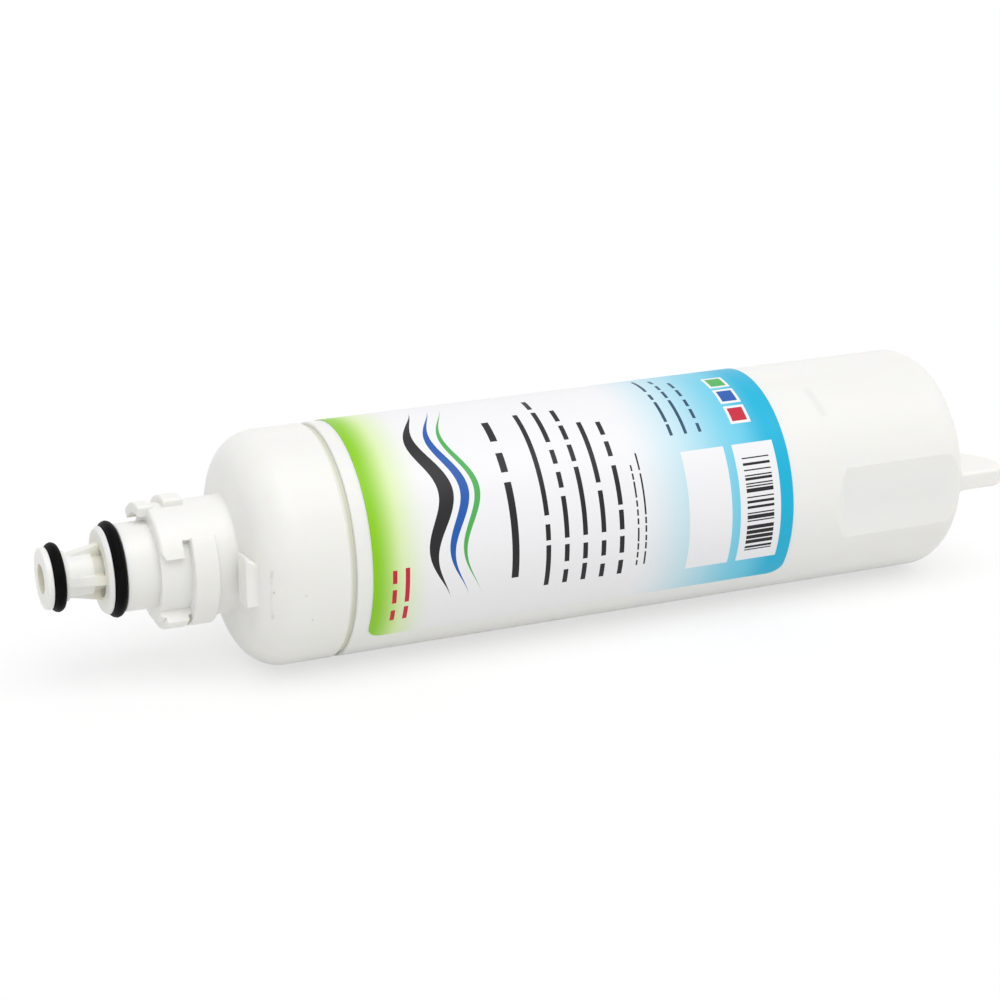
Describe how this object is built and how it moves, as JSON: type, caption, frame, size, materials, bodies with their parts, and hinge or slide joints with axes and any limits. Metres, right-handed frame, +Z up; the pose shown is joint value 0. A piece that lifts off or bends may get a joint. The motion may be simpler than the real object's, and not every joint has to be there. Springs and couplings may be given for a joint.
{
  "type": "refrigerator water filter cartridge",
  "caption": "Sealed twist-in refrigerator water filter: white round housing with a ringed nozzle, bayonet collar, wrapped label and flat grip fin.",
  "frame": {"origin": "on the cartridge's axis, at the mouth of the bayonet collar", "axes": "+X along the axis from the nozzle to the grip fin, +Y across to the far side along the fin, +Z up"},
  "size_m": [0.2651, 0.0614, 0.0612],
  "materials": {
    "housing_plastic": "satin moulded, off-white",
    "seal_rubber": "smooth, lightly greased",
    "label_film": "glossy printed film",
    "cap_plastic": "moulded",
    "pressed_carbon": "porous black block",
    "filter_fleece": "non-woven fleece",
    "net_plastic": "extruded net"
  },
  "bodies": {
    "root": {"head_cap": "housing_plastic", "sump_body": "housing_plastic", "outlet_o_ring": "seal_rubber", "inlet_o_ring": "seal_rubber", "spigot_seal": "seal_rubber", "label": "label_film", "upper_end_cap": "cap_plastic", "lower_end_cap": "cap_plastic", "carbon_block": "pressed_carbon", "prefilter_wrap": "filter_fleece", "netting_sleeve": "net_plastic"}
  },
  "joints": []
}
